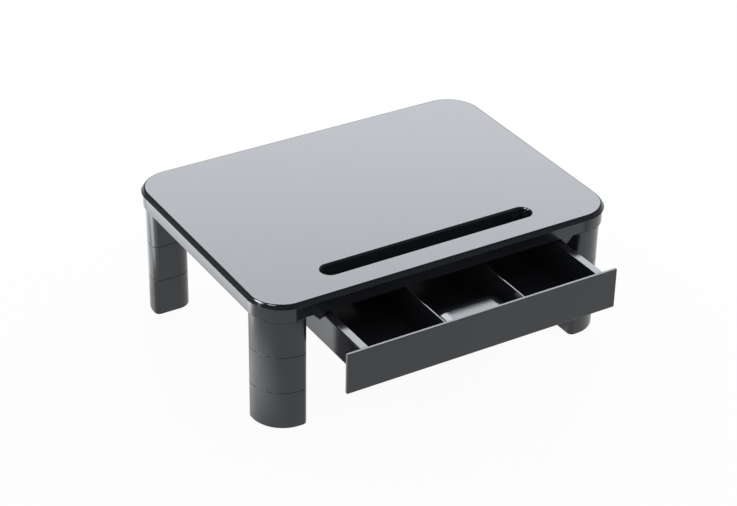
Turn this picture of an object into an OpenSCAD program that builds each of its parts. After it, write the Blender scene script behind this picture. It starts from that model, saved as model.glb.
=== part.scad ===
/* [Stand] */
// Length of the board, left to right
top_l = 370; // [320:1:450]
// Depth of the board, front to back
top_d = 270; // [240:1:340]
// Height of the board's upper face above the ground
stand_h = 130; // [118:1:170]

/* [Board] */
// Thickness of the board at its edge
top_thk = 4.5; // [4:0.1:7]
// Corner radius of the board, seen from above
top_corner_r = 35; // [28:1:44]
// Radius of the upper edge; the lower edge takes the rest of the thickness
top_edge_r = 3; // [2:0.1:3.4]
// Thickness of the stiffening ribs under the board
rib_thk = 1.6; // [1:0.1:3]
// Height of the stiffening ribs under the board
rib_h = 5; // [2:0.5:7]
// Ribs that run left to right
ribs_along_x = 4; // [2:1:6]
// Ribs that run front to back
ribs_along_y = 5; // [2:1:7]

/* [Slot] */
// Distance from the board's side edge to the end of the device slot
slot_end = 75; // [65:1:110]
// Width of the device slot
slot_w = 17.5; // [10:0.5:24]
// Distance from the board's front edge to the middle of the slot
slot_setback = 37; // [28:1:60]
// Depth of the slot, from the board's upper face to its floor
slot_depth = 16; // [8:0.5:17]
// Wall and floor thickness of the trough under the slot
slot_wall = 1.8; // [1:0.1:2]
// Bevel round the slot's rim
slot_bevel = 1.2; // [0.4:0.1:2]

/* [Frame] */
// How far the skirt stands back from the board's edge
skirt_inset = 1.5; // [0.5:0.1:2.4]
// Height of the skirt under the board
skirt_h = 13.5; // [13:0.5:20]
// Wall thickness of the skirt
skirt_wall = 2.4; // [1.6:0.1:3]
// Distance from the board's side edge to the end of the set-back stretch at the front
recess_end = 30; // [28:1:36]
// Length of the ramp at each end of that stretch
recess_ramp = 8; // [4:0.5:10]
// How far the front beam stands behind the skirt's front face
recess_depth = 2.5; // [1:0.1:4]
// Thickness of the front beam
beam_thk = 2.6; // [2:0.1:5]
// Width of each pointed ear where it meets the beam
ear_w = 14; // [8:0.5:16]
// Length of each pointed ear below the beam
ear_h = 7.2; // [4:0.1:10]
// Sideways gap between an ear and the tray's flange
ear_gap = 0.4; // [0.2:0.1:1.5]
// Width of the screw tabs inside the skirt
tab_w = 10; // [8:0.5:14]
// Reach of the screw tabs inside the skirt
tab_reach = 9; // [7:0.5:12]
// Thickness of the screw tabs inside the skirt
tab_thk = 3; // [2:0.5:4]
// Distance from the board's middle to its front and back screw tabs, left to right
front_tab_x = 60; // [40:1:100]
// Distance from the board's middle to its side screw tabs, front to back
side_tab_y = 45; // [30:1:70]

/* [Legs] */
// How far the legs stand back from the board's edge
leg_inset = 3.6; // [2.5:0.1:5]
// Width of a leg, the same both ways
leg_w = 39.5; // [36:0.5:44]
// Radius of the two leg corners beside the large one
leg_round = 5; // [5:0.5:9]
// Radius of the leg's corner that faces the middle of the stand
leg_inner_round = 15; // [8:0.5:18]
// Gap left at the seam on top of each leg segment
seam_gap = 0.1; // [0.05:0.05:0.3]
// Wall thickness of the hollow leg segments
leg_wall = 2.4; // [1.6:0.1:3]
// Thickness of the deck on top of a leg segment
leg_deck = 2; // [1:0.1:4]
// Height of the plug on top of a leg segment
plug_h = 12; // [6:0.5:12.5]
// Wall thickness of the plug
plug_wall = 1.8; // [1:0.1:2.4]
// Gap all round between a plug and its socket
plug_gap = 0.3; // [0.1:0.05:0.5]
// Floor thickness of the lowest leg segment
foot_floor = 3.4; // [2.5:0.1:6]
// Thickness of a rubber foot pad
pad_thk = 2; // [1.2:0.1:3]
// How far a foot pad stands out below its leg
pad_stand = 0.5; // [0.4:0.1:1.1]
// Distance from the leg's outside to the foot pad
pad_inset = 2.5; // [1.5:0.1:4]
// Gap all round between a foot pad and its seat
pad_gap = 0.1; // [0.05:0.05:0.3]

/* [Drawer front] */
// Gap between each end of the drawer front and the leg beside it
front_side_gap = 1.9; // [0.6:0.1:3]
// How far each end of the drawer front reaches past the tray's flange
front_reach = 14.4; // [12:0.2:22]
// Height of the drawer front
front_h = 40; // [38:0.5:50]
// Thickness of the drawer front
front_thk = 3; // [2.4:0.1:5]
// Gap between the drawer front and the beam above it
front_gap = 3; // [1:0.1:6]
// Depth of the grooves in the drawer front that hold the tray
tongue = 1.2; // [0.6:0.1:1.6]
// Gap all round in those grooves
tongue_gap = 0.1; // [0.05:0.05:0.3]

/* [Drawer tray] */
// Length of the drawer, from its front face to the tray's back
drawer_len = 190; // [180:1:230]
// Height of the tray's underside above the drawer front's lower edge
tray_lift = 3; // [1:0.5:8]
// Wall thickness of the tray
tray_wall = 2.2; // [1.4:0.1:2.6]
// Floor thickness of the tray
tray_floor = 2; // [1.5:0.1:3]
// Radius of the tray's inner corners at the back
tray_round = 4; // [2:0.5:10]
// How far the side flanges reach past the tray's walls
flange_reach = 5.2; // [4:0.1:6]
// Thickness of the side flanges
flange_thk = 2; // [1.2:0.1:3]
// Clear width of the middle compartment
middle_w = 81; // [70:1:110]
// Thickness of the dividers
divider_thk = 1.5; // [1:0.1:2.5]
// How far the dividers end below the tray's rim
divider_drop = 0.4; // [0:0.1:6]
// Depth of the grooves that hold the dividers
divider_seat = 0.8; // [0.4:0.1:1.2]
// Gap on each side of a divider in its groove
divider_gap = 0.1; // [0.05:0.05:0.2]

/* [Finger hollow] */
// Reach of the hollow behind the drawer front
hollow_d = 42; // [30:1:60]
// Height of the hollow's shell above the tray's floor
hollow_h = 25; // [19:0.5:30]
// Rounding of the hollow's shell
hollow_r = 18; // [8:0.5:19]
// Wall thickness of the hollow's shell
hollow_wall = 2; // [1.2:0.1:3]
// Gap between the hollow's shell and each divider
hollow_gap = 0.4; // [0.1:0.1:2]

/* [Runners] */
// Thickness of a runner's upright web
web_thk = 2; // [1.5:0.1:3]
// Gap between a runner's web and the tray's flange
web_gap = 0.6; // [0.3:0.1:1]
// Thickness of the ledge that carries the flange
ledge_thk = 2; // [1.5:0.1:3]
// Gap between the ledge's edge and the tray's wall
ledge_gap = 0.6; // [0.3:0.1:2]
// Running gap between the flange and the ledge
run_gap = 0.25; // [0.1:0.05:0.5]
// Length of a runner
runner_l = 190; // [150:1:210]
// Thickness of a runner's screw flange
runner_flange_thk = 2.5; // [2:0.1:3]
// Width of a runner's screw flange
runner_flange_w = 10; // [9:0.5:11]
// Screws in each runner
runner_holes = 3; // [2:1:5]

/* [Drawer travel] */
// How far the drawer stands open as shown
open_shown = 60; // [5:1:90]
// How far the drawer opens before its stops touch the beam
open_max = 150; // [100:1:155]
// Gap that is left at either end of the travel
stop_gap = 0.3; // [0.1:0.1:0.6]
// Length of a stop lug along the travel
lug_l = 6; // [3:0.5:10]
// Height of a stop lug above the tray's rim
lug_h = 5.5; // [4.5:0.1:8]

/* [Screws] */
// Shank diameter of the screws
screw_d = 3; // [2.5:0.1:3.5]
// Head diameter of the screws
screw_head_d = 5.6; // [5:0.1:7]
// Head height of the screws
screw_head_h = 1.8; // [1:0.1:2.4]
// Depth to which the screws enter the board
screw_bite = 3; // [1.5:0.1:3.2]
// Clearance on the diameter of the screw holes
hole_gap = 0.2; // [0.1:0.1:0.6]

/* [Hidden] */
$fn = 64;

// How far a cut runs past the face that it opens
over = 1;

// Heights, from the ground up
board_z = stand_h - top_thk;
frame_z = board_z - skirt_h;
leg_pitch = (frame_z - pad_stand) / 3;
leg_h = leg_pitch - seam_gap;
rim_z = frame_z - front_gap;
tray_h = front_h - tray_lift;
tray_z = rim_z - tray_h;
floor_z = tray_z + tray_floor;
flange_z = rim_z - flange_thk;
ledge_z = flange_z - run_gap - ledge_thk;
trough_z = stand_h - slot_depth - slot_wall;

// Board and slot
low_edge_r = top_thk - top_edge_r;
slot_l = top_l - 2 * slot_end;
slot_y = slot_setback - top_d / 2;
trough_back = slot_y + slot_w / 2 + slot_wall;

// Widths of the drawer, which fits between the legs
front_l = top_l - 2 * (leg_inset + leg_w + front_side_gap);
flange_x = front_l / 2 - front_reach;
tray_x = flange_x - flange_reach;
tray_in = 2 * (tray_x - tray_wall);

// Frame
skirt_x = top_l / 2 - skirt_inset;
skirt_y = top_d / 2 - skirt_inset;
recess_l = top_l - 2 * recess_end;
beam_y = recess_depth - skirt_y;
beam_back = beam_y + beam_thk;
ear_half_at_rim = ear_w / 2 * (1 - front_gap / ear_h);
ear_x = flange_x + ear_gap + ear_half_at_rim;
tab_z = board_z - tab_thk;

// Legs: the large corner is concentric with the board's corner
leg_r = top_corner_r - leg_inset;
plug_inset = leg_wall + plug_gap;
segment_z = [for (i = [0:2]) pad_stand + i * leg_pitch];

// Drawer, drawn closed and then moved out by open_shown
front_back = beam_y - stop_gap;
front_face = front_back - front_thk;
tray_back = front_face + drawer_len;
divider_x = (middle_w + divider_thk) / 2;
lug_y = beam_back + open_max + stop_gap;
hollow_w = middle_w - 2 * hollow_gap;
hollow_clear = hollow_w - 2 * hollow_wall;

// The model is drawn round the middle of the board, then moved back so that the
// origin lies on the ground below the middle of the whole outline, drawer open as shown
origin_shift = (open_shown - front_face - top_d / 2) / 2;

// Runners
ledge_reach = flange_reach - ledge_gap;
web_x = flange_x + web_gap;
runner_z = board_z - runner_flange_thk;
runner_hole_x = web_x + web_thk + runner_flange_w / 2;

// Ribs keep clear of the runners at the sides and of the screw tabs at the back
rib_x = tray_in / 2;
rib_back = skirt_y - skirt_wall - tab_reach - 2 * stop_gap;

// Screw places
tab_edge = tab_reach / 2;
tabs = [
    for (s = [-1, 1]) each [
        [s * front_tab_x, beam_back + tab_edge, 0],
        [s * front_tab_x, skirt_y - skirt_wall - tab_edge, 0],
        [s * (skirt_x - skirt_wall - tab_edge), side_tab_y, 90],
        [s * (skirt_x - skirt_wall - tab_edge), -side_tab_y, 90],
    ]
];
runner_screws = [
    for (s = [-1, 1], i = [0:runner_holes - 1])
        [s * runner_hole_x, beam_back + runner_l * (i + 0.5) / runner_holes]
];

body_grey = [0.24, 0.25, 0.27];
gloss_grey = [0.45, 0.47, 0.5];
rubber_black = [0.06, 0.06, 0.06];
steel = [0.6, 0.6, 0.62];

corners = [["fl", -1, -1], ["fr", 1, -1], ["rl", -1, 1], ["rr", 1, 1]];
leg_parts = ["leg_lower", "leg_middle", "leg_upper"];

// ---- outlines ----

// A rectangle round the origin with four equal round corners
module round_rect(l, d, r) {
    square([l - 2 * r, d], center = true);
    square([l, d - 2 * r], center = true);
    for (x = [r - l / 2, l / 2 - r], y = [r - d / 2, d / 2 - r])
        translate([x, y]) circle(r);
}

// What is taken off a square corner at the origin to round it
module corner_waste(r) {
    difference() {
        translate([-over, -over]) square(r + over);
        translate([r, r]) circle(r);
    }
}

// Section of a leg: its outer corner, at the origin, has the large radius
module leg_outline(inset) {
    w = leg_w - 2 * inset;
    r = leg_round - inset;
    translate([inset, inset]) difference() {
        square(w);
        corner_waste(leg_r - inset);
        translate([w, 0]) mirror([1, 0]) corner_waste(r);
        translate([0, w]) mirror([0, 1]) corner_waste(r);
        translate([w, w]) rotate(180) corner_waste(leg_inner_round - inset);
    }
}

// Half section of the board, from its middle out to its rounded edge
module edge_profile(reach) {
    square([reach - top_edge_r, top_thk]);
    square([reach - low_edge_r, low_edge_r]);
    intersection() {
        translate([reach - top_edge_r, low_edge_r]) circle(top_edge_r);
        translate([0, low_edge_r]) square([reach, top_edge_r]);
    }
    translate([reach - low_edge_r, low_edge_r]) circle(low_edge_r);
}

// Section of the tray across the drawer, each wall grown by grow on every side
module tray_section(grow) {
    module wall(x, z, w, h) {
        translate([x - grow, z - grow]) square([w + 2 * grow, h + 2 * grow]);
    }
    wall(-tray_x, tray_z, 2 * tray_x, tray_floor);
    for (s = [0, 1]) mirror([s, 0]) {
        wall(tray_in / 2, tray_z, tray_wall, tray_h);
        wall(tray_in / 2, flange_z, tray_wall + flange_reach, flange_thk);
    }
}

// ---- placing ----

// Draws its children, made for the front left corner, at corner c
module at_corner(c) {
    mirror([c[1] > 0 ? 1 : 0, 0, 0]) mirror([0, c[2] > 0 ? 1 : 0, 0])
        translate([leg_inset - top_l / 2, leg_inset - top_d / 2, 0]) children();
}

module placed() {
    translate([0, origin_shift, 0]) children();
}

module pulled_out() {
    translate([0, -open_shown, 0]) children();
}

// Extrudes a section drawn in X and Z along Y, from y0 to y1
module along_y(y0, y1) {
    translate([0, y1, 0]) rotate([90, 0, 0]) linear_extrude(y1 - y0) children();
}

// ---- board ----

module slab() {
    module full_profile(reach) {
        edge_profile(reach);
        mirror([1, 0]) edge_profile(reach);
    }
    run_x = top_l - 2 * top_corner_r;
    run_y = top_d - 2 * top_corner_r;
    translate([0, 0, board_z]) {
        rotate([90, 0, 90]) linear_extrude(run_x, center = true) full_profile(top_d / 2);
        rotate([90, 0, 0]) linear_extrude(run_y, center = true) full_profile(top_l / 2);
        for (x = [-run_x / 2, run_x / 2], y = [-run_y / 2, run_y / 2])
            translate([x, y, 0]) rotate_extrude() edge_profile(top_corner_r);
    }
}

// A block with half-round ends, as long and wide as the slot grown by grow
module slot_block(grow, h) {
    w = slot_w + 2 * grow;
    span = slot_l - slot_w;
    translate([0, slot_y, 0]) {
        translate([-span / 2, -w / 2, 0]) cube([span, w, h]);
        for (x = [-span / 2, span / 2]) translate([x, 0, 0]) cylinder(d = w, h = h);
    }
}

// The bevel round the slot's rim, run a little past the upper face
module slot_flare() {
    span = slot_l - slot_w;
    half = slot_w / 2;
    wide = half + slot_bevel + over;
    high = slot_bevel + over;
    translate([0, slot_y, stand_h - slot_bevel]) {
        rotate([90, 0, 90]) linear_extrude(span, center = true)
            polygon([[-half, 0], [half, 0], [wide, high], [-wide, high]]);
        for (x = [-span / 2, span / 2])
            translate([x, 0, 0]) cylinder(r1 = half, r2 = wide, h = high);
    }
}

module ribs() {
    depth = rib_back - trough_back;
    z = board_z - rib_h;
    for (i = [1:ribs_along_x]) {
        y = trough_back + depth * i / ribs_along_x - rib_thk;
        translate([-rib_x, y, z]) cube([2 * rib_x, rib_thk, rib_h]);
    }
    for (i = [0:ribs_along_y - 1]) {
        x = (i / (ribs_along_y - 1) - 0.5) * (2 * rib_x - rib_thk);
        translate([x - rib_thk / 2, trough_back - slot_wall, z])
            cube([rib_thk, depth + slot_wall, rib_h]);
    }
}

module board_screw_holes() {
    module pilot(p) {
        translate([p[0], p[1], board_z - over])
            cylinder(d = screw_d + hole_gap, h = screw_bite + hole_gap + over);
    }
    for (p = tabs) pilot(p);
    for (p = runner_screws) pilot(p);
}

module top_panel() {
    color(gloss_grey) difference() {
        union() {
            slab();
            ribs();
            translate([0, 0, trough_z]) slot_block(slot_wall, board_z - trough_z);
        }
        translate([0, 0, trough_z + slot_wall]) slot_block(0, slot_depth + over);
        slot_flare();
        board_screw_holes();
    }
}

// ---- frame ----

module skirt_ring() {
    difference() {
        linear_extrude(skirt_h)
            round_rect(2 * skirt_x, 2 * skirt_y, top_corner_r - skirt_inset);
        translate([0, 0, -over]) linear_extrude(skirt_h + 2 * over)
            round_rect(2 * (skirt_x - skirt_wall), 2 * (skirt_y - skirt_wall),
                top_corner_r - skirt_inset - skirt_wall);
    }
}

// Front beam, as deep as the skirt's front face until the recess is cut into it
module front_beam() {
    reach = recess_l / 2 + skirt_wall;
    linear_extrude(skirt_h) intersection() {
        round_rect(2 * skirt_x, 2 * skirt_y, top_corner_r - skirt_inset);
        translate([-reach, -skirt_y]) square([2 * reach, recess_depth + beam_thk]);
    }
}

// What is cut from the skirt's front face: a long step with a ramp at each end
module front_recess() {
    far = recess_l / 2;
    near = far - recess_ramp;
    translate([0, 0, -over]) linear_extrude(skirt_h + 2 * over)
        polygon([[-far, -skirt_y - over], [-far, -skirt_y], [-near, beam_y],
            [near, beam_y], [far, -skirt_y], [far, -skirt_y - over]]);
}

// A point that hangs from the beam at each end of the drawer opening
module ears() {
    for (s = [-1, 1]) translate([s * ear_x, beam_back, 0]) rotate([90, 0, 0])
        linear_extrude(beam_thk)
            polygon([[-ear_w / 2, 0], [0, -ear_h], [ear_w / 2, 0], [ear_w / 2, ear_w / 4],
                [-ear_w / 2, ear_w / 4]]);
}

module screw_tabs() {
    for (t = tabs) translate([t[0], t[1], skirt_h - tab_thk]) rotate(t[2])
        translate([-tab_w / 2, -tab_edge - tab_thk / 4, 0])
            cube([tab_w, tab_reach + tab_thk / 2, tab_thk]);
}

module frame() {
    color(body_grey) translate([0, 0, frame_z]) difference() {
        union() {
            difference() {
                union() {
                    skirt_ring();
                    front_beam();
                    for (c = corners) at_corner(c) linear_extrude(skirt_h) leg_outline(0);
                }
                front_recess();
            }
            ears();
            screw_tabs();
        }
        for (c = corners) at_corner(c) translate([0, 0, -over])
            linear_extrude(skirt_h + 2 * over) leg_outline(leg_wall);
        for (t = tabs) translate([t[0], t[1], -over])
            cylinder(d = screw_d + hole_gap, h = skirt_h + 2 * over);
    }
}

// ---- runners ----

// The right runner: web, ledge under the tray's flange, and flange for its screws
module runner() {
    difference() {
        along_y(beam_back, beam_back + runner_l) {
            translate([web_x, ledge_z]) square([web_thk, board_z - ledge_z]);
            translate([flange_x - ledge_reach, ledge_z])
                square([ledge_reach + web_gap + web_thk, ledge_thk]);
            translate([web_x, runner_z])
                square([web_thk + runner_flange_w, runner_flange_thk]);
        }
        for (p = runner_screws)
            translate([abs(p[0]), p[1], runner_z - over])
                cylinder(d = screw_d + hole_gap, h = runner_flange_thk + 2 * over);
    }
}

module right_runner() {
    color(body_grey) runner();
}

module left_runner() {
    color(body_grey) mirror([1, 0, 0]) runner();
}

// ---- screws ----

// A pan head screw, pointing up, whose head rests against the face at height z
module screw(p, z) {
    cross_l = screw_head_d * 0.6;
    cross_w = cross_l / 3;
    color(steel) translate([p[0], p[1], z]) difference() {
        union() {
            translate([0, 0, -screw_head_h]) cylinder(d = screw_head_d, h = screw_head_h);
            cylinder(d = screw_d, h = board_z + screw_bite - z);
        }
        for (a = [0, 90]) rotate(a)
            translate([-cross_l / 2, -cross_w / 2, -screw_head_h - over])
                cube([cross_l, cross_w, over + screw_head_h / 2]);
    }
}

module frame_screws() {
    for (t = tabs) screw(t, tab_z);
}

module runner_screw_set() {
    for (p = runner_screws) screw(p, runner_z);
}

// ---- legs ----

// A hollow segment with a plug on top; floor is the thickness of its closed bottom
module leg_segment(floor) {
    difference() {
        union() {
            linear_extrude(leg_h) leg_outline(0);
            translate([0, 0, leg_h - leg_deck])
                linear_extrude(leg_deck + plug_h) leg_outline(plug_inset);
        }
        translate([0, 0, floor > 0 ? floor : -over])
            linear_extrude(leg_h - leg_deck - (floor > 0 ? floor : -over))
                leg_outline(leg_wall);
        translate([0, 0, leg_h - leg_deck - over])
            linear_extrude(leg_deck + plug_h + 2 * over) leg_outline(plug_inset + plug_wall);
    }
}

module leg_part(c, level) {
    color(body_grey) at_corner(c) translate([0, 0, segment_z[level]]) difference() {
        leg_segment(level == 0 ? foot_floor : 0);
        if (level == 0) translate([0, 0, -over])
            linear_extrude(pad_thk - pad_stand + over) leg_outline(pad_inset);
    }
}

module foot_pad(c) {
    color(rubber_black) at_corner(c) linear_extrude(pad_thk) leg_outline(pad_inset + pad_gap);
}

// ---- drawer ----

// A block on the XY plane from y = 0 to d, rounded by r at its top, sides and back
module rounded_block(w, d, h, r) {
    x = w / 2 - r;
    y = d - r;
    z = h - r;
    intersection() {
        union() {
            translate([-x, 0, 0]) cube([2 * x, y, h]);
            translate([-x, 0, 0]) cube([2 * x, d, z]);
            translate([-w / 2, 0, 0]) cube([w, y, z]);
            translate([-x, y, z]) rotate([0, 90, 0]) cylinder(r = r, h = 2 * x);
            for (s = [-x, x]) {
                translate([s, y, z]) rotate([90, 0, 0]) cylinder(r = r, h = y);
                translate([s, y, 0]) cylinder(r = r, h = z);
                translate([s, y, z]) sphere(r);
            }
        }
        translate([-w / 2, 0, 0]) cube([w, d, h]);
    }
}

module divider_plates(grow) {
    plate = divider_thk + 2 * grow;
    y0 = front_back - divider_seat;
    y1 = tray_back - tray_wall + divider_seat;
    z0 = floor_z - divider_seat;
    for (s = [-1, 1]) translate([s * divider_x - plate / 2, y0, z0])
        cube([plate, y1 - y0, rim_z - divider_drop - z0]);
}

module drawer_tray() {
    shell_h = tray_floor + hollow_h;
    color(body_grey) pulled_out() difference() {
        union() {
            along_y(front_back - tongue, tray_back) tray_section(0);
            // Back wall, with the inner corners filled to their radius
            difference() {
                along_y(front_back, tray_back)
                    translate([-tray_x, tray_z]) square([2 * tray_x, tray_h]);
                translate([0, tray_back - tray_wall - drawer_len, floor_z])
                    linear_extrude(tray_h) round_rect(tray_in, 2 * drawer_len, tray_round);
            }
            translate([0, front_back, tray_z])
                rounded_block(hollow_w, hollow_d, shell_h, hollow_r);
            for (s = [0, 1]) mirror([s, 0, 0]) translate([tray_in / 2, lug_y, flange_z])
                cube([tray_wall + flange_reach - ear_gap, lug_l, flange_thk + lug_h]);
        }
        translate([0, front_back - tongue - over, tray_z - over])
            rounded_block(hollow_clear, hollow_d - hollow_wall + tongue + over,
                shell_h - hollow_wall + over, hollow_r - hollow_wall);
        divider_plates(divider_gap);
    }
}

// The grooves that hold the tray stop at the finger hollow, where the tray has no floor
module drawer_front() {
    module grooves() {
        difference() {
            along_y(front_back - tongue - tongue_gap, front_back + over)
                tray_section(tongue_gap);
            translate([tongue_gap - hollow_clear / 2, front_face, tray_z - over])
                cube([hollow_clear - 2 * tongue_gap, front_thk + 2 * over, tray_floor + 2 * over]);
        }
    }
    color(body_grey) pulled_out() difference() {
        translate([-front_l / 2, front_face, rim_z - front_h])
            cube([front_l, front_thk, front_h]);
        grooves();
        divider_plates(divider_gap);
    }
}

// The divider on the side that s names: -1 is left, 1 is right
module divider(s) {
    color(body_grey) pulled_out() intersection() {
        divider_plates(0);
        translate([s * top_l / 2, 0, stand_h / 2]) cube([top_l, 2 * top_d, stand_h], center = true);
    }
}

module left_divider() {
    divider(-1);
}

module right_divider() {
    divider(1);
}

// ---- nodes ----

placed() top_panel();
placed() frame();
placed() left_runner();
placed() right_runner();
placed() frame_screws();
placed() runner_screw_set();  // runner_screws
for (c = corners, level = [0:2])
    placed() leg_part(c, level);
for (c = corners)
    placed() foot_pad(c);
placed() drawer_tray();
placed() drawer_front();
placed() left_divider();
placed() right_divider();
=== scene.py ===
import math

import bmesh
import bpy
import numpy as np
from mathutils import Matrix, Vector
from mathutils.geometry import tessellate_polygon


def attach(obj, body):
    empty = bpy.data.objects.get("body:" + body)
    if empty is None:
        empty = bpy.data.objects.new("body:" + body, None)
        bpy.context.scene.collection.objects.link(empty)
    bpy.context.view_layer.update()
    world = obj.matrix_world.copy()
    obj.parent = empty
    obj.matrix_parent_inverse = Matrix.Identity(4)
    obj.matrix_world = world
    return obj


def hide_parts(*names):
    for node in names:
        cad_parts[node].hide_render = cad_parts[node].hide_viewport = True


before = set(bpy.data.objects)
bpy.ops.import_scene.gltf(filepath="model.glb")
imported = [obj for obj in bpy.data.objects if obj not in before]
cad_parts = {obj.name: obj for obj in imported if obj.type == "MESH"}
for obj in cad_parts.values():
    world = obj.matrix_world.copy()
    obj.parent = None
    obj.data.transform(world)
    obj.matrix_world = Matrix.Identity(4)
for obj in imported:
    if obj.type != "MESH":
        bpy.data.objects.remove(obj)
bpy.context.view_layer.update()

scene = bpy.context.scene
scene.view_settings.view_transform = "Standard"

# Shapes are in mm, round the middle of the board, which stands SHIFT behind the origin.
# Lamps, floor and shader distances are in metres, round the origin.
MM = 0.001
SHIFT = 29.65


# ---------------------------------------------------------------- camera
# Fitted to the photograph: the direction it looks from, its place in mm and its lens
AZIMUTH, ELEVATION, ROLL = math.radians(-31.46), math.radians(31.17), math.radians(1.09)
CAMERA_AT = (-873.1, SHIFT - 1422.9, 1074.5)
SENSOR_WIDTH, FOCAL_LENGTH = 36, 100.87
CLIP_START, CLIP_END = 0.05, 60


def aim_camera():
    level = math.cos(ELEVATION)
    back = Vector((math.sin(AZIMUTH) * level, -math.cos(AZIMUTH) * level, math.sin(ELEVATION)))
    side = Vector((math.cos(AZIMUTH), math.sin(AZIMUTH), 0))
    up = back.cross(side)
    right = side * math.cos(ROLL) + up * math.sin(ROLL)
    top = up * math.cos(ROLL) - side * math.sin(ROLL)
    cam = bpy.data.objects.new("camera", bpy.data.cameras.new("camera"))
    scene.collection.objects.link(cam)
    turn = Matrix((right, top, back)).transposed().to_4x4()
    cam.matrix_world = Matrix.Translation(Vector(CAMERA_AT) * MM) @ turn
    cam.data.sensor_fit = "HORIZONTAL"
    cam.data.sensor_width = SENSOR_WIDTH
    cam.data.lens = FOCAL_LENGTH
    cam.data.clip_start = CLIP_START
    cam.data.clip_end = CLIP_END
    scene.camera = cam


# ---------------------------------------------------------------- shader nodes
def node_tree(owner):
    owner.use_nodes = True
    owner.node_tree.nodes.clear()
    return owner.node_tree.nodes, owner.node_tree.links


def compute(nodes, links, operation, *values):
    """What a math node makes of some values, each a socket or a plain number."""
    node = nodes.new("ShaderNodeMath")
    node.operation = operation
    for socket, value in zip(node.inputs, values):
        if isinstance(value, (int, float)):
            socket.default_value = value
        else:
            links.new(value, socket)
    return node.outputs[0]


def highest(nodes, links, first, *others):
    """The largest of some values."""
    for other in others:
        first = compute(nodes, links, "MAXIMUM", first, other)
    return first


def remap(nodes, links, value, start, end, low, high, kind="LINEAR"):
    """Turns the range from start to end into low to high, and holds the value at both ends."""
    node = nodes.new("ShaderNodeMapRange")
    node.interpolation_type = kind
    node.inputs["From Min"].default_value = start
    node.inputs["From Max"].default_value = end
    node.inputs["To Min"].default_value = low
    node.inputs["To Max"].default_value = high
    links.new(value, node.inputs["Value"])
    return node.outputs[0]


def hump(nodes, links, value, centre, inner, outer):
    """1 within inner of the centre, falling smoothly to 0 at outer."""
    off = compute(nodes, links, "SUBTRACT", value, centre)
    away = compute(nodes, links, "ABSOLUTE", off)
    return remap(nodes, links, away, inner, outer, 1, 0, "SMOOTHSTEP")


def noise(nodes, links, coords, per_metre, detail):
    node = nodes.new("ShaderNodeTexNoise")
    node.inputs["Scale"].default_value = per_metre
    node.inputs["Detail"].default_value = detail
    links.new(coords, node.inputs["Vector"])
    return node.outputs["Fac"]


def background(nodes, colour, strength=1):
    node = nodes.new("ShaderNodeBackground")
    node.inputs["Color"].default_value = (*colour, 1)
    node.inputs["Strength"].default_value = strength
    return node


def mixed(nodes, links, factor, first, second):
    """A mix of two shaders. The factor is a socket or a plain number."""
    node = nodes.new("ShaderNodeMixShader")
    if isinstance(factor, float):
        node.inputs["Fac"].default_value = factor
    else:
        links.new(factor, node.inputs["Fac"])
    links.new(first.outputs[0], node.inputs[1])
    links.new(second.outputs[0], node.inputs[2])
    return node


# ---------------------------------------------------------------- stage and lamps
WHITE = (1, 1, 1)
SURROUND, SURROUND_LEVEL = (0.95, 0.97, 1), 0.72
CEILING = (0.9, 0.95, 1)
# The ceiling that gloss sees: height of the direction (0 level, 1 straight up), and strength there
CEILING_FADE = ((0.02, 1), (0.2, 0.35), (0.75, 0.07))

FLOOR_PAINT = (0.9, 0.9, 0.9)
FLOOR_GLOW = 0.95  # share of the glow; the rest is paint, which takes the object's shadow
FLOOR_REACH = 20
FLOOR_DROP = 0.0002  # keeps the floor out of the plane of the pads' undersides
# The patch of painted shade that gloss sees on the floor: its middle, how far it is full, and where it
# ends, across and front to back
SHADE_X = (0.11, 0.07, 0.14)
SHADE_Y = (0.03, 0.09, 0.13)

LAMP_COLOUR = (0.95, 0.97, 1.0)
ON_FLOOR = 0.002
BOARD_MIDDLE = (0, 0, 0.13)


def make_world():
    """A plain pale surround; what reflects it sees white at the horizon and a dim ceiling."""
    world = bpy.data.worlds.new("studio")
    scene.world = world
    nodes, links = node_tree(world)
    plain = background(nodes, SURROUND, SURROUND_LEVEL)
    white = background(nodes, WHITE)
    ceiling = background(nodes, CEILING)
    coords = nodes.new("ShaderNodeTexCoord")
    split = nodes.new("ShaderNodeSeparateXYZ")
    links.new(coords.outputs["Generated"], split.inputs[0])
    fade = nodes.new("ShaderNodeValToRGB")
    stops = fade.color_ramp.elements
    stops.new(0.5)
    for stop, (height, level) in zip(stops, CEILING_FADE):
        stop.position = height
        stop.color = (level, level, level, 1)
    links.new(split.outputs["Z"], fade.inputs[0])
    links.new(fade.outputs[0], ceiling.inputs["Strength"])
    path = nodes.new("ShaderNodeLightPath")
    mirrored_ray = highest(nodes, links, path.outputs["Is Glossy Ray"], path.outputs["Is Transmission Ray"])
    shown = mixed(nodes, links, mirrored_ray, plain, ceiling)
    direct = mixed(nodes, links, path.outputs["Is Camera Ray"], shown, white)
    out = nodes.new("ShaderNodeOutputWorld")
    links.new(direct.outputs[0], out.inputs["Surface"])


def outside_shade(nodes, links):
    """1 on the open floor, 0 below the stand's right half: painted shade in the floor's glow, standing in
    for the stand's shadow that the gloss of the legs shows.
    """
    split = nodes.new("ShaderNodeSeparateXYZ")
    links.new(nodes.new("ShaderNodeNewGeometry").outputs["Position"], split.inputs[0])
    wide = hump(nodes, links, split.outputs["X"], *SHADE_X)
    deep = hump(nodes, links, split.outputs["Y"], *SHADE_Y)
    shade = compute(nodes, links, "MULTIPLY", wide, deep)
    return compute(nodes, links, "SUBTRACT", 1, shade)


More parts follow.
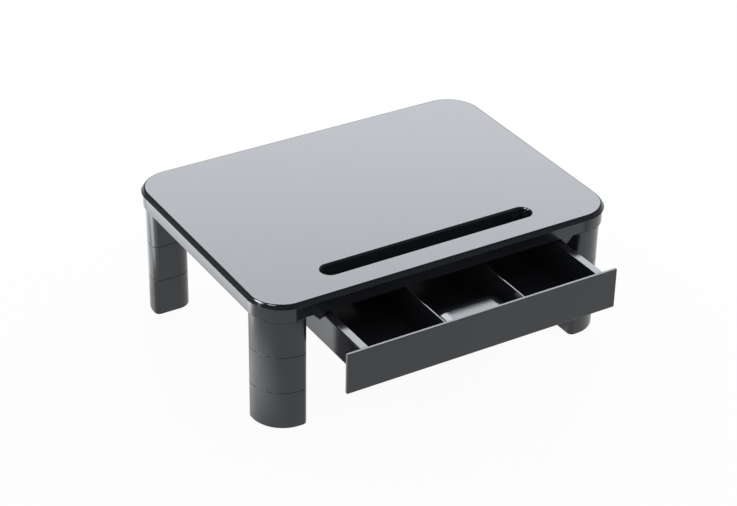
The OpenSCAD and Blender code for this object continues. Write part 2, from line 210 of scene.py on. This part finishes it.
def make_floor():
    """A pale floor that camera, gloss and glass see as white, except for a patch of painted shade below the
    stand's right half that gloss alone sees.
    """
    mat = bpy.data.materials.new("floor")
    nodes, links = node_tree(mat)
    paint = nodes.new("ShaderNodeBsdfDiffuse")
    paint.inputs["Color"].default_value = (*FLOOR_PAINT, 1)
    glow = nodes.new("ShaderNodeEmission")
    glow.inputs["Color"].default_value = (*WHITE, 1)
    path = nodes.new("ShaderNodeLightPath")
    # Gloss sees the glow with painted shade below the stand's right half
    gloss = compute(nodes, links, "MULTIPLY", path.outputs["Is Glossy Ray"], outside_shade(nodes, links))
    strength = highest(nodes, links, path.outputs["Is Camera Ray"], gloss,
                       path.outputs["Is Transmission Ray"])
    links.new(strength, glow.inputs["Strength"])
    shown = mixed(nodes, links, FLOOR_GLOW, paint, glow)
    out = nodes.new("ShaderNodeOutputMaterial")
    links.new(shown.outputs[0], out.inputs["Surface"])
    bm = bmesh.new()
    bmesh.ops.create_grid(bm, x_segments=2, y_segments=2, size=FLOOR_REACH)
    me = bpy.data.meshes.new("floor")
    bm.to_mesh(me)
    bm.free()
    me.materials.append(mat)
    floor = bpy.data.objects.new("floor", me)
    floor.location.z = -FLOOR_DROP
    scene.collection.objects.link(floor)


def softbox(name, at, aim, size, radiance, soft, card=True):
    """A flat lamp whose face shines with the given radiance; gloss shows it, the camera doesn't.

    soft is the share of each half that fades out towards the edge. A card only shows in gloss,
    so it leaves the plain level of the light alone."""
    data = bpy.data.lights.new(name, "AREA")
    data.shape = "RECTANGLE"
    data.size, data.size_y = size
    data.energy = radiance * math.pi * size[0] * size[1]
    data.color = LAMP_COLOUR
    fade_edges(data, soft)
    lamp = bpy.data.objects.new(name, data)
    scene.collection.objects.link(lamp)
    lamp.location = at
    lamp.rotation_mode = "QUATERNION"
    lamp.rotation_quaternion = (Vector(aim) - Vector(at)).to_track_quat("-Z", "Y")
    lamp.visible_camera = False
    lamp.visible_diffuse = not card


def floor_card(name, x, y, size, radiance, soft):
    """A card that lies on the floor and faces up."""
    softbox(name, (x, y, ON_FLOOR), (x, y, 1), size, radiance, soft)


def fade_edges(data, soft):
    nodes, links = node_tree(data)
    where = nodes.new("ShaderNodeNewGeometry")
    split = nodes.new("ShaderNodeSeparateXYZ")
    links.new(where.outputs["Parametric"], split.inputs[0])
    wide, high = [hump(nodes, links, split.outputs[side], 0.5, 0.5 * (1 - soft), 0.5)
                  for side in ("X", "Y")]
    glow = nodes.new("ShaderNodeEmission")
    links.new(compute(nodes, links, "MULTIPLY", wide, high), glow.inputs["Strength"])
    out = nodes.new("ShaderNodeOutputLight")
    links.new(glow.outputs[0], out.inputs["Surface"])


# ---------------------------------------------------------------- mesh tools
SMOOTH_LIMIT = 50  # degrees between two faces that are shaded as one surface
ROUND_STEPS = 3  # faces of a small rounding
MERGE_DIGITS = 4  # decimals of a mm to which two points are the same corner


def arc(cx, cy, r, a0, a1, steps):
    return [(cx + r * math.cos(math.radians(a0 + (a1 - a0) * k / steps)),
             cy + r * math.sin(math.radians(a0 + (a1 - a0) * k / steps)))
            for k in range(steps + 1)]


def fillet(corners, steps=4):
    """Closed line through the corners (x, y, r) or (x, y, r, steps), each rounded by its r."""
    out = []
    for i, corner in enumerate(corners):
        p, r = Vector(corner[:2]), corner[2]
        count = corner[3] if len(corner) > 3 else steps
        a = (Vector(corners[i - 1][:2]) - p).normalized()
        b = (Vector(corners[(i + 1) % len(corners)][:2]) - p).normalized()
        if r <= 0:
            out.append((p.x, p.y))
            continue
        half = a.angle(b) / 2
        centre = p + (a + b).normalized() * (r / math.sin(half))
        v0 = p + a * (r / math.tan(half)) - centre
        v1 = p + b * (r / math.tan(half)) - centre
        way = 1 if v0.x * v1.y - v0.y * v1.x > 0 else -1
        a0 = math.degrees(math.atan2(v0.y, v0.x))
        out += arc(centre.x, centre.y, r, a0, a0 + way * (180 - 2 * math.degrees(half)), count)
    return out


def mirrored(half):
    """Closes a line drawn on the right side, front to back, with its mirror image."""
    return half + [(-x, y) for x, y in reversed(half)]


def offset(loop, d):
    """Moves a closed line to its left by d."""
    out = []
    for i, p in enumerate(loop):
        p = Vector(p)
        a = (p - Vector(loop[i - 1])).normalized()
        b = (Vector(loop[(i + 1) % len(loop)]) - p).normalized()
        na, nb = Vector((-a.y, a.x)), Vector((-b.y, b.x))
        q = p + (na + nb) * (d / (1 + na.dot(nb)))
        out.append((q.x, q.y))
    return out


def rounding(inset, z, way_in, way_up, r):
    """Quarter round, as points (inset, height), from the wall at inset to the flat face at z."""
    out = []
    for k in range(ROUND_STEPS + 1):
        a = math.pi / 2 * k / ROUND_STEPS
        out.append((inset + way_in * r * (1 - math.cos(a)), z + way_up * r * (math.sin(a) - 1)))
    return out


def edge(z, z_in, r, steps=ROUND_STEPS):
    """Quarter round, as points (inset, height), from the flat face at z to the wall towards z_in."""
    if r <= 0:
        return [(0, z)]
    way = 1 if z_in > z else -1
    out = []
    for k in range(steps + 1):
        a = math.pi / 2 * k / steps
        out.append((r * (1 - math.sin(a)), z + way * r * (1 - math.cos(a))))
    return out


def at_height(loop, z):
    return [(x, y, z) for x, y in loop]


def flat(u, v, w):
    return u, v, w


def across(u, v, w):
    """Local x and y to x and z, local height to y."""
    return u, w, v


class Shape:
    """Collects faces, given in mm, and turns them into one object."""

    def __init__(self):
        self.bm = bmesh.new()
        self.known = {}

    def fresh(self):
        """Begins a closed surface that shares no corner with the ones before."""
        self.known = {}

    def vert(self, p):
        key = tuple(round(c, MERGE_DIGITS) for c in p)
        if key not in self.known:
            self.known[key] = self.bm.verts.new(p)
        return self.known[key]

    def face(self, points):
        verts = []
        for p in points:
            v = self.vert(p)
            if v not in verts:
                verts.append(v)
        if len(verts) > 2:
            try:
                self.bm.faces.new(verts)
            except ValueError:
                pass  # the face is there already

    def loft(self, rings, closed=True):
        for a, b in zip(rings, rings[1:]):
            for i in range(len(a) if closed else len(a) - 1):
                j = (i + 1) % len(a)
                self.face([a[i], a[j], b[j], b[i]])

    def cap(self, *loops):
        """Fills the flat area that the first loop surrounds, less the loops inside it."""
        points = [p for loop in loops for p in loop]
        for tri in tessellate_polygon([[Vector(p) for p in loop] for loop in loops]):
            self.face([points[k] for k in tri])

    def prism(self, loops, z0, z1, b0=0.0, b1=0.0, place=flat, steps=ROUND_STEPS):
        """Stands flat loops up from z0 to z1: material lies to their left, edges rounded by b0, b1."""
        self.fresh()
        levels = edge(z0, z1, b0, steps) + list(reversed(edge(z1, z0, b1, steps)))
        stacks = [[[place(u, v, z) for u, v in offset(loop, d)] for d, z in levels] for loop in loops]
        for rings in stacks:
            self.loft(rings)
        self.cap(*[rings[0] for rings in stacks])
        self.cap(*[rings[-1] for rings in stacks])

    def block(self, x, y, z, b0=0.0, b1=0.0, r=0.0, place=flat):
        """A prism over the rectangle x by y, whose upright edges are rounded by r."""
        x0, x1, y0, y1 = *sorted(x), *sorted(y)
        plan = fillet([(x0, y0, r), (x1, y0, r), (x1, y1, r), (x0, y1, r)])
        self.prism([plan], *z, b0, b1, place)

    def build(self, name, body, nodes, material):
        bm = self.bm
        for v in bm.verts:
            v.co = Vector((v.co.x, v.co.y + SHIFT, v.co.z)) * MM
        bmesh.ops.recalc_face_normals(bm, faces=bm.faces)
        me = bpy.data.meshes.new(name)
        bm.to_mesh(me)
        bm.free()
        shade_smooth(me)
        me.materials.append(material)
        o = bpy.data.objects.new(name, me)
        scene.collection.objects.link(o)
        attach(o, body)
        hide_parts(*nodes)


def shade_smooth(me):
    """Smooth shading that keeps large flat faces flat and turns only across the rounded edges."""
    count = len(me.polygons)
    normal = np.empty(count * 3)
    area = np.empty(count)
    me.polygons.foreach_get("normal", normal)
    me.polygons.foreach_get("area", area)
    normal = normal.reshape(-1, 3)
    # A large face outweighs its small neighbours, and one without area still counts a little
    weight = (area / MM ** 2) ** 2 + 1e-12
    around = [[] for _ in me.vertices]
    for poly in me.polygons:
        for v in poly.vertices:
            around[v].append(poly.index)
    least = math.cos(math.radians(SMOOTH_LIMIT))
    result = []
    for poly in me.polygons:
        own = normal[poly.index]
        for v in poly.vertices:
            near = np.array(around[v])
            near = near[normal[near] @ own > least]
            n = (normal[near] * weight[near, None]).sum(0) if len(near) else own
            length = np.linalg.norm(n)
            result.append(n / length if length > 0 else own)
    me.polygons.foreach_set("use_smooth", [True] * count)
    me.normals_split_custom_set([tuple(n) for n in result])


# ---------------------------------------------------------------- materials
GLOSS_TINT = (0.93, 0.96, 1, 1)
CLOUDS, CLOUD_DETAIL = 14, 3
WANDER, WANDER_DETAIL = 45, 5
GRAIN_DETAIL = 2
NOISE_LOW, NOISE_HIGH = 0.3, 0.7  # nearly all of a noise lies between these


def surface(name, dark, light, rough, grain, relief, ior, metal=0.0):
    """A moulded or worked surface: its colour clouds between dark and light, its roughness
    wanders over the range rough, and a fine grain (per metre) raises it by relief (mm)."""
    mat = bpy.data.materials.new(name)
    nodes, links = node_tree(mat)
    coords = nodes.new("ShaderNodeTexCoord").outputs["Object"]
    bsdf = nodes.new("ShaderNodeBsdfPrincipled")
    bsdf.inputs["IOR"].default_value = ior
    bsdf.inputs["Metallic"].default_value = metal
    bsdf.inputs["Specular Tint"].default_value = GLOSS_TINT
    tint = nodes.new("ShaderNodeMix")
    tint.data_type = "RGBA"
    tint.inputs["A"].default_value = (*dark, 1)
    tint.inputs["B"].default_value = (*light, 1)
    clouds = noise(nodes, links, coords, CLOUDS, CLOUD_DETAIL)
    links.new(remap(nodes, links, clouds, NOISE_LOW, NOISE_HIGH, 0, 1), tint.inputs["Factor"])
    links.new(tint.outputs["Result"], bsdf.inputs["Base Color"])
    wander = noise(nodes, links, coords, WANDER, WANDER_DETAIL)
    links.new(remap(nodes, links, wander, NOISE_LOW, NOISE_HIGH, *rough), bsdf.inputs["Roughness"])
    bump = nodes.new("ShaderNodeBump")
    bump.inputs["Strength"].default_value = 1
    bump.inputs["Distance"].default_value = relief * MM
    links.new(noise(nodes, links, coords, grain, GRAIN_DETAIL), bump.inputs["Height"])
    links.new(bump.outputs[0], bsdf.inputs["Normal"])
    out = nodes.new("ShaderNodeOutputMaterial")
    links.new(bsdf.outputs[0], out.inputs["Surface"])
    return mat


polished = surface("polished_black", (0.012, 0.013, 0.016), (0.015, 0.016, 0.020),
                   rough=(0.115, 0.135), grain=300, relief=0.004, ior=1.56)
moulded = surface("moulded_black", (0.014, 0.015, 0.018), (0.018, 0.019, 0.023),
                  rough=(0.18, 0.22), grain=900, relief=0.003, ior=1.56)
satin = surface("satin_black", (0.012, 0.013, 0.015), (0.016, 0.017, 0.020),
                rough=(0.13, 0.16), grain=1100, relief=0.003, ior=1.65)
smooth = surface("smooth_black", (0.012, 0.013, 0.015), (0.016, 0.017, 0.020),
                 rough=(0.13, 0.16), grain=1100, relief=0.003, ior=1.55)
rubber = surface("rubber_black", (0.018, 0.018, 0.018), (0.028, 0.028, 0.028),
                 rough=(0.7, 0.85), grain=1500, relief=0.02, ior=1.5)
steel = surface("zinc_steel", (0.55, 0.56, 0.58), (0.66, 0.67, 0.68),
                rough=(0.25, 0.4), grain=2200, relief=0.01, ior=1.5, metal=1.0)


# ---------------------------------------------------------------- board
TOP, UNDER = 130.0, 125.5
# Centre of the right rear corner's arc, which board and skirt share
CORNER_X, CORNER_Y = 150, 100
CORNER_STEPS = 28
BOARD_R = 35
# Rim, as (inset, height): a small rounding below, a sloping side, a wide curve into the flat face
RIM_LOW_R, RIM_LOW_STEPS = 0.6, 4
RIM_CURVE = [(1.7, 128.3), (2.86, TOP), (4.3, TOP)]
RIM_STEPS = 12

# Slot: the middles of its round ends, and their radius
SLOT_X, SLOT_Y, SLOT_R = 101.25, -98.0, 8.75
SLOT_STEPS = 32
SLOT_FLOOR, TROUGH_UNDER = 114, 112.2
# Inside, as (growth, height): the chamfered mouth with soft edges, the wall, the rounded floor
SLOT_INSIDE = [(1.5, TOP), (1.25, TOP - 0.05), (1.05, TOP - 0.17), (0.2, TOP - 1.05),
               (0.05, TOP - 1.25), (0, TOP - 1.5), (0, SLOT_FLOOR + 1),
               (-0.12, SLOT_FLOOR + 0.5), (-0.5, SLOT_FLOOR + 0.12), (-1, SLOT_FLOOR)]
SLOT_OUTSIDE = [(1.8, UNDER), (1.8, TROUGH_UNDER + 0.8), (1.68, TROUGH_UNDER + 0.4),
                (1.4, TROUGH_UNDER + 0.12), (1, TROUGH_UNDER)]

# Ribs under the board: bays each way, back of the trough that the grid begins at, its depth and width
BAYS = 4
RIBS_FRONT, RIBS_DEEP, RIBS_WIDE = -87.45, 208.95, 234.8
RIB_W, RIB_EDGE = 1.6, 0.35
RIB_TOP = UNDER + 0.3
CROSS_RIB_END, CROSS_RIB_LOW = 118.2, 120.52
LONG_RIB_Y, LONG_RIB_LOW = (-88.4, 121.5), 120.5


def front_corner(r, start=-90):
    return arc(CORNER_X, -CORNER_Y, r, start, 0, CORNER_STEPS)


def rear_corner(r):
    return arc(CORNER_X, CORNER_Y, r, 0, 90, CORNER_STEPS)


def board_line(inset):
    r = BOARD_R - inset
    return mirrored(front_corner(r) + rear_corner(r))


def slot_line(grow):
    r = SLOT_R + grow
    return arc(SLOT_X, SLOT_Y, r, -90, 90, SLOT_STEPS) + arc(-SLOT_X, SLOT_Y, r, 90, 270, SLOT_STEPS)


def rim_profile():
    start, bend, end = [Vector(p) for p in RIM_CURVE]
    out = edge(UNDER, TOP, RIM_LOW_R, RIM_LOW_STEPS)
    for k in range(RIM_STEPS + 1):
        t = k / RIM_STEPS
        out.append(tuple(start * (1 - t) ** 2 + bend * 2 * t * (1 - t) + end * t ** 2))
    return out


def board():
    s = Shape()
    sides = [at_height(board_line(i), z) for i, z in rim_profile()]
    pocket = [at_height(slot_line(g), z) for g, z in SLOT_INSIDE]
    trough = [at_height(slot_line(g), z) for g, z in SLOT_OUTSIDE]
    s.loft(sides)
    s.loft(pocket)
    s.loft(trough)
    s.cap(sides[-1], pocket[0])
    s.cap(pocket[-1])
    s.cap(sides[0], trough[0])
    s.cap(trough[-1])
    # The slot's trough takes the place of the foremost rib
    for i in range(1, BAYS + 1):
        y = RIBS_FRONT + RIBS_DEEP * i / BAYS
        s.block((-CROSS_RIB_END, CROSS_RIB_END), (y - RIB_W, y), (CROSS_RIB_LOW, RIB_TOP), b0=RIB_EDGE)
    for i in range(BAYS + 1):
        x = (i / BAYS - 0.5) * RIBS_WIDE
        s.block((x - RIB_W / 2, x + RIB_W / 2), LONG_RIB_Y, (LONG_RIB_LOW, RIB_TOP), b0=RIB_EDGE)
    s.build("board", "stand", ["top_panel"], polished)


# ---------------------------------------------------------------- legs
# Outer corner of the right rear leg, width, and the radii of its outer, side and inner corners
LEG_X, LEG_Y, LEG_W = 181.4, 131.4, 39.5
OUTER_R, SIDE_R, INNER_R = 31.4, 5, 15
OUTER_STEPS, SIDE_STEPS, INNER_STEPS = 36, 10, 20
LEAST_R = 0.2
# Height of a segment, distance from one to the next, and underside of the lowest
HIGH, PITCH, FOOT_Z = 37.066, 37.1667, 0.5
LEG_EDGE = 0.45
# Insets of the socket's wall, and of the plug's outer and inner faces
SOCKET_IN, PLUG_OUT, PLUG_IN = 2.4, 2.7, 4.5
PLUG_UP, PLUG_ROOT = 12, 2
PLUG_EDGE, PLUG_IN_EDGE, SOCKET_EDGE = 0.6, 0.5, 0.4
# Seam below the skirt: its middle below the segment's top, half its width, and its depth
SEAM_DOWN, SEAM_HALF, SEAM_DEEP = 1.65, 0.4, 0.4
# The lowest segment's pocket for the pad, and the upper face of its floor
POCKET_IN, POCKET_TOP, POCKET_EDGE = 2.5, 1.5, 0.3
LEG_FLOOR_TOP = 3.4
PAD_IN, PAD_TOP, PAD_LOW_EDGE, PAD_TOP_EDGE, PAD_STEPS = 2.6, 2, 0.6, 0.1, 4


def leg_line(inset):
    """The leg's outline: u and v run inwards from its outer corner."""
    a, b, r = inset, LEG_W - inset, max(SIDE_R - inset, LEAST_R)
    return fillet([(a, a, OUTER_R - inset, OUTER_STEPS), (b, a, r, SIDE_STEPS),
                   (b, b, INNER_R - inset, INNER_STEPS), (a, b, r, SIDE_STEPS)])


def corner(sx, sy):
    """Puts a leg's outline at the stand's corner on the sides sx and sy."""
    def place(u, v, w):
        return sx * (LEG_X - u), sy * (LEG_Y - v), w
    return place


def segment_profile(level):
    """A leg segment in section, as (inset, height). The lowest one, with its floor, is open."""
    foot = edge(0, HIGH, LEG_EDGE)
    plug_top = HIGH + PLUG_UP
    up = (rounding(0, HIGH, 1, 1, LEG_EDGE) + [(PLUG_OUT, HIGH)]
          + rounding(PLUG_OUT, plug_top, 1, 1, PLUG_EDGE)
          + list(reversed(rounding(PLUG_IN, plug_top, -1, 1, PLUG_IN_EDGE)))
          + [(PLUG_IN, HIGH - PLUG_ROOT), (SOCKET_IN, HIGH - PLUG_ROOT)])
    if level == 0:
        pocket = [(POCKET_IN, POCKET_TOP)] + rounding(POCKET_IN, 0, -1, -1, POCKET_EDGE)
        return pocket + foot + up + [(SOCKET_IN, LEG_FLOOR_TOP)]
    seam = []
    if level == 2:
        middle = HIGH - SEAM_DOWN
        seam = [(0, middle - SEAM_HALF), (SEAM_DEEP, middle), (0, middle + SEAM_HALF)]
    return foot + seam + up + rounding(SOCKET_IN, 0, -1, -1, SOCKET_EDGE)


def leg(name, sx, sy, level, body):
    place = corner(sx, sy)
    z = FOOT_Z + level * PITCH
    rings = [[place(u, v, z + h) for u, v in leg_line(i)] for i, h in segment_profile(level)]
    s = Shape()
    if level == 0:
        s.loft(rings)
        s.cap(rings[0])
        s.cap(rings[-1])
    else:
        s.loft(rings + rings[:1])
    s.build(name + "_shell", body, [name], moulded)


def foot_pad(name, sx, sy, body):
    s = Shape()
    s.prism([leg_line(PAD_IN)], 0, PAD_TOP, b0=PAD_LOW_EDGE, b1=PAD_TOP_EDGE, place=corner(sx, sy),
            steps=PAD_STEPS)
    s.build(name + "_rubber", body, [name], rubber)


# ---------------------------------------------------------------- frame
SKIRT_LOW, SKIRT_R, SKIRT_EDGE = 112, 33.5, 0.25
# Front face of the set-back beam, and the S-shaped ramp from it to the skirt's corner
BEAM_Y = -131
RAMP_X, RAMP_W, RAMP_STEPS = 146, 9, 12
# Distance from the middle to the inner faces of the rear wall and of the front beam
REAR_IN, BEAM_IN = 131.1, 128.4
# Steps where a socket's corner runs into the beam, into a wall, and round its inner corner
VOID_BEAM_STEPS, VOID_WALL_STEPS, VOID_INNER_STEPS = 4, 6, 16
# Ears at the ends of the drawer's opening: a kite shape, its lowest point rounded
EAR_X, EAR_HALF, EAR_R, EAR_EDGE = 130.083, 7, 0.5, 0.3
EAR_LOW, EAR_SIDE, EAR_HIGH = 104.8, 112.4, 113.5
EAR_Y = (-130.98, -128.42)
# Tabs for the screws
TAB_HALF, TAB_EDGE, TAB_R = 5, 0.4, 0.8
TAB_Z = (122.5, 125.48)
END_TAB_X, END_TABS_Y = 60, ((-129.2, -119.4), (122.1, 131.9))
SIDE_TAB_Y, SIDE_TAB_X = 45, (172.1, 181.9)
# Runner in section, as (x, z, radius), and its ends
RUNNER = [(121, 104.75, 0.3), (128.2, 104.75, 0.5), (128.2, 123, 0.6), (138.2, 123, 0.4),
          (138.2, 125.48, 0), (126.2, 125.48, 0), (126.2, 106.75, 0.4), (121, 106.75, 0.3)]
RUNNER_Y, RUNNER_EDGE = (-128.38, 61.6), 0.25


def front_line():
    """The skirt's front, right half, from the ramp's foot to the start of the corner."""
    out = []
    for k in range(RAMP_STEPS + 1):
        x = RAMP_X + RAMP_W * k / RAMP_STEPS
        t = (1 - math.cos(math.pi * k / RAMP_STEPS)) / 2
        bow = math.sqrt(SKIRT_R ** 2 - max(x - CORNER_X, 0) ** 2)
        out.append((x, BEAM_Y * (1 - t) - (CORNER_Y + bow) * t))
    return out


def frame_void():
    """The space inside the frame, right half: its walls, and the corners of the leg sockets."""
    x, y, r, q = LEG_X - LEG_W, LEG_Y - LEG_W, SIDE_R, INNER_R
    beam = math.degrees(math.asin((BEAM_IN - LEG_Y + r) / r))
    rear = math.degrees(math.asin((REAR_IN - LEG_Y + r) / r))
    side = 90 - rear
    return (arc(x + r, r - LEG_Y, r, 180 + beam, 180, VOID_BEAM_STEPS)
            + arc(x + q, -y - q, q, 180, 90, VOID_INNER_STEPS)
            + arc(LEG_X - r, -y - r, r, 90, side, VOID_WALL_STEPS)
            + arc(LEG_X - r, y + r, r, -side, -90, VOID_WALL_STEPS)
            + arc(x + q, y + q, q, 270, 180, VOID_INNER_STEPS)
            + arc(x + r, LEG_Y - r, r, 180, 180 - rear, VOID_WALL_STEPS))


def skirt_frame():
    s = Shape()
    ramp_end = -90 + math.degrees(math.asin((RAMP_X + RAMP_W - CORNER_X) / SKIRT_R))
    outer = mirrored(front_line() + front_corner(SKIRT_R, ramp_end)[1:] + rear_corner(SKIRT_R))
    loops = [outer, list(reversed(mirrored(frame_void())))]
    for sx in (-1, 1):
        for sy in (-1, 1):
            place = corner(sx, sy)
            hole = [place(u, v, 0)[:2] for u, v in leg_line(SOCKET_IN)]
            loops.append(hole if sx * sy < 0 else list(reversed(hole)))
    s.prism(loops, SKIRT_LOW, UNDER, b0=SKIRT_EDGE)
    for sx in (-1, 1):
        x = sx * EAR_X
        ear = fillet([(x - EAR_HALF, EAR_SIDE, 0), (x, EAR_LOW, EAR_R), (x + EAR_HALF, EAR_SIDE, 0),
                      (x, EAR_HIGH, 0)])
        s.prism([ear], *EAR_Y, b0=EAR_EDGE, b1=EAR_EDGE, place=across)
        x = sx * END_TAB_X
        for y in END_TABS_Y:
            s.block((x - TAB_HALF, x + TAB_HALF), y, TAB_Z, b0=TAB_EDGE, r=TAB_R)
        for y in (-SIDE_TAB_Y, SIDE_TAB_Y):
            s.block([sx * x for x in SIDE_TAB_X], (y - TAB_HALF, y + TAB_HALF), TAB_Z,
                    b0=TAB_EDGE, r=TAB_R)
    s.build("skirt_frame", "stand", ["frame"], moulded)


def runner(name, sx):
    s = Shape()
    section = [(sx * u, v) for u, v in fillet(RUNNER)]
    s.prism([section if sx > 0 else list(reversed(section))], *RUNNER_Y, b0=RUNNER_EDGE,
            b1=RUNNER_EDGE, place=across)
    s.build(name + "_rail", "stand", [name], moulded)


# ---------------------------------------------------------------- drawer, open as shown
FACE_X, FACE_Z, FACE_Y = (-140, 140), (69, 109), (-194.3, -191.3)
FACE_EDGE, FACE_R = 0.5, 0.7
# The tray's parts end inside the face
TRAY_FRONT = -191.7
TRAY_X, TRAY_R, TRAY_CORNER_Y = 120.4, 0.8, -5.1
INSIDE_X, INSIDE_R, INSIDE_CORNER_Y = 118.2, 4, -10.5
TRAY_STEPS, INSIDE_STEPS = 4, 10
TRAY_Z, TRAY_LOW_EDGE, TRAY_TOP_EDGE = (72.02, 109), 0.5, 0.3
BOTTOM_X, BOTTOM_Y, BOTTOM_Z = 119.3, -5.4, (72, 74)
FLANGE_X, FLANGE_Y, FLANGE_Z = (119.4, 125.6), (TRAY_FRONT, -4.32), (107, 108.98)
FLANGE_EDGE = 0.3
LUG_X, LUG_Y, LUG_Z = (118.22, 125.2), (-38.1, -32.1), (107.5, 114.5)
LUG_EDGE, LUG_R = 0.6, 0.5
# Finger hollow: the middles of its two corners, the shell's radius and wall, and its heights
HOLLOW_X, HOLLOW_Y = 22.1, -167.3
HOLLOW_R, HOLLOW_WALL = 18, 2
HOLLOW_FRONT, HOLLOW_LOW, HOLLOW_TURN = -191.6, 71.98, 81
HOLLOW_STEPS = 20
NOTCH_R, NOTCH_STEPS = 17, 12
DIVIDER_X, DIVIDER_HALF = 41.25, 0.75
DIVIDER_Y, DIVIDER_Z, DIVIDER_EDGE = (TRAY_FRONT, -5.6), (73.4, 108.6), 0.35


def rear_corners(x, y, r, steps):
    """Both rear corners of a line that runs from the left to the right."""
    return arc(-x, y, r, 180, 90, steps) + arc(x, y, r, 90, 0, steps)


def drawer_front():
    s = Shape()
    s.block(FACE_X, FACE_Z, FACE_Y, b0=FACE_EDGE, b1=FACE_EDGE, r=FACE_R, place=across)
    s.build("drawer_face", "drawer", ["drawer_front"], smooth)


def drawer_tray():
    s = Shape()
    outside = arc(TRAY_X - TRAY_R, TRAY_CORNER_Y, TRAY_R, 0, 90, TRAY_STEPS)
    walls = ([(-TRAY_X, TRAY_FRONT), (-INSIDE_X, TRAY_FRONT)]
             + rear_corners(INSIDE_X - INSIDE_R, INSIDE_CORNER_Y, INSIDE_R, INSIDE_STEPS)
             + [(INSIDE_X, TRAY_FRONT), (TRAY_X, TRAY_FRONT)] + mirrored(outside))
    s.prism([walls], *TRAY_Z, b0=TRAY_LOW_EDGE, b1=TRAY_TOP_EDGE)
    notch_x = HOLLOW_X + NOTCH_R
    bottom = ([(-BOTTOM_X, TRAY_FRONT), (-notch_x, TRAY_FRONT)]
              + rear_corners(HOLLOW_X, HOLLOW_Y, NOTCH_R, NOTCH_STEPS)
              + [(notch_x, TRAY_FRONT), (BOTTOM_X, TRAY_FRONT)]
              + [(BOTTOM_X, BOTTOM_Y), (-BOTTOM_X, BOTTOM_Y)])
    s.prism([bottom], *BOTTOM_Z)
    for sx in (-1, 1):
        s.block([sx * x for x in FLANGE_X], FLANGE_Y, FLANGE_Z, b0=FLANGE_EDGE, b1=FLANGE_EDGE,
                r=FLANGE_EDGE)
        s.block([sx * x for x in LUG_X], LUG_Y, LUG_Z, b1=LUG_EDGE, r=LUG_R)
    finger_shell(s)
    s.build("tray", "drawer", ["drawer_tray"], satin)


def finger_shell(s):
    """The shell over the finger hollow, open at the face and below."""
    def ring(inset, z):
        r = max(HOLLOW_R - inset, 0)
        x = HOLLOW_X + r
        return at_height([(-x, HOLLOW_FRONT)] + rear_corners(HOLLOW_X, HOLLOW_Y, r, HOLLOW_STEPS)
                         + [(x, HOLLOW_FRONT)], z)
    turn = [math.pi / 2 * k / HOLLOW_STEPS for k in range(HOLLOW_STEPS + 1)]
    r = HOLLOW_R - HOLLOW_WALL
    outer = [(0, HOLLOW_LOW)] + [(HOLLOW_R * (1 - math.cos(a)), HOLLOW_TURN + HOLLOW_R * math.sin(a))
                                 for a in turn]
    lower_edge = [(HOLLOW_WALL - 0.3, HOLLOW_LOW), (HOLLOW_WALL - 0.1, HOLLOW_LOW + 0.12),
                  (HOLLOW_WALL, HOLLOW_LOW + 0.42)]
    inner = lower_edge + [(HOLLOW_R - r * math.cos(a), HOLLOW_TURN + r * math.sin(a)) for a in turn]
    s.fresh()
    top = [ring(i, z) for i, z in outer]
    under = [ring(i, z) for i, z in inner]
    s.loft(list(reversed(under)) + top, closed=False)
    for stack in (top, under):
        line = stack[-1]
        s.face([line[0], line[1], line[-2], line[-1]])


def divider(name, x):
    s = Shape()
    s.block((x - DIVIDER_HALF, x + DIVIDER_HALF), DIVIDER_Y, DIVIDER_Z, b1=DIVIDER_EDGE)
    s.build(name + "_plate", "drawer", [name], satin)


# ---------------------------------------------------------------- the scene
aim_camera()
make_world()
make_floor()
# The one lamp that lights the object, behind it; the cards below only show in its gloss
softbox("back_light", (0.95, 1.45, 1.213), BOARD_MIDDLE, (2.0, 1.02), 5.0, soft=0.35, card=False)
softbox("high_card", (0.2, 1.15, 1.75), BOARD_MIDDLE, (1.1, 0.9), 9, soft=0.3)
floor_card("left_card", -0.43, 0.27, (0.37, 0.5), 5.1, soft=0.3)
floor_card("rear_card", -0.2, 0.29, (0.09, 0.26), 0.7, soft=0.4)
floor_card("foot_card", -0.25, -0.04, (0.2, 0.3), 1.2, soft=0.9)
softbox("glint_card", (-1.05, -0.35, 1.6), BOARD_MIDDLE, (0.6, 0.45), 14, soft=0.4)
softbox("corner_card", (-1.42, 0.45, 1.3), BOARD_MIDDLE, (0.8, 0.6), 28, soft=0.3)
softbox("front_card", (1.35, -1.75, 0.45), (0.1, 0, 0.13), (1.3, 0.8), 3.5, soft=0.9)

board()
skirt_frame()
runner("left_runner", -1)
runner("right_runner", 1)
for where, sx, sy in (("fl", -1, -1), ("fr", 1, -1), ("rl", -1, 1), ("rr", 1, 1)):
    for level, part in enumerate(("lower", "middle", "upper")):
        leg(f"{where}_leg_{part}", sx, sy, level, f"{where}_{part}")
    foot_pad(f"{where}_foot_pad", sx, sy, f"{where}_lower")
drawer_front()
drawer_tray()
divider("left_divider", -DIVIDER_X)
divider("right_divider", DIVIDER_X)
for name in ("frame_screws", "runner_screws"):
    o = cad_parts[name]
    o.data.materials.clear()
    o.data.materials.append(steel)
